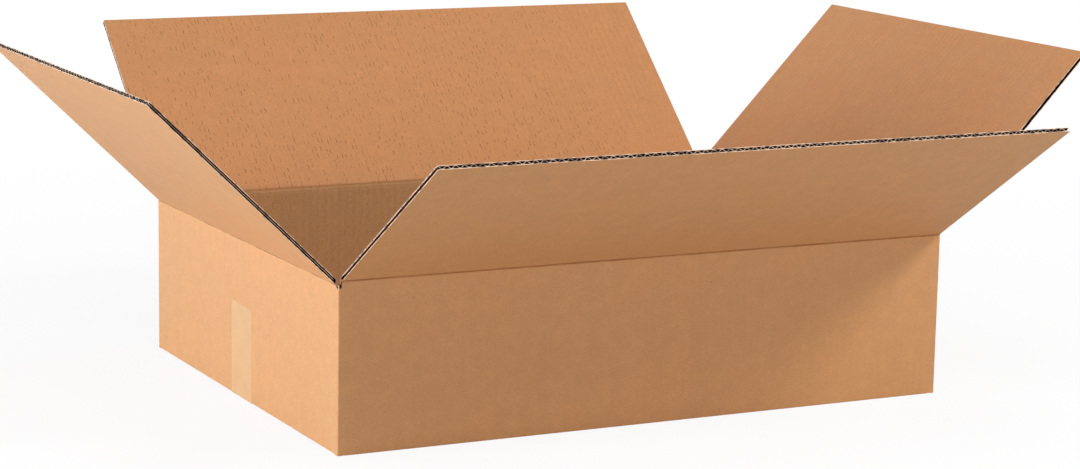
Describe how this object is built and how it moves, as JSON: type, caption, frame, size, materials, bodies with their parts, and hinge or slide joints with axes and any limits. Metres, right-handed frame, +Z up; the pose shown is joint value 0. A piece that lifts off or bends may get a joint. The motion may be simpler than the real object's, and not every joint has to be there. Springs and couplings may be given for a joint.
{
  "type": "open cardboard box",
  "caption": "Shallow corrugated shipping box with a closed, taped bottom and hinged top flaps spread outwards.",
  "frame": {"origin": "on the underside, in the middle of the closed box's footprint", "axes": "+X along the box's length, +Y across it towards the back, +Z up"},
  "size_m": [0.9376, 0.8173, 0.3178],
  "materials": {
    "board": "matt brown kraft paper",
    "tape": "thin satin film"
  },
  "bodies": {
    "box": {"box_body": "board", "bottom_tape": "tape"},
    "front_flap": {"front_flap": "board"},
    "back_flap": {"back_flap": "board"},
    "left_flap": {"left_flap": "board"},
    "right_flap": {"right_flap": "board"}
  },
  "joints": [
    {"name": "front_fold", "type": "hinge", "parent": "box", "child": "front_flap", "pos_m": [0, -0.22875, 0.1524], "axis": [1, 0, 0], "range_deg": [-147, 73]},
    {"name": "back_fold", "type": "hinge", "parent": "box", "child": "back_flap", "pos_m": [0, 0.22875, 0.1524], "axis": [-1, 0, 0], "range_deg": [-138, 82]},
    {"name": "left_fold", "type": "hinge", "parent": "box", "child": "left_flap", "pos_m": [-0.30495, 0, 0.1481], "axis": [0, -1, 0], "range_deg": [-136, 82]},
    {"name": "right_fold", "type": "hinge", "parent": "box", "child": "right_flap", "pos_m": [0.30495, 0, 0.1481], "axis": [0, 1, 0], "range_deg": [-134, 84]}
  ]
}
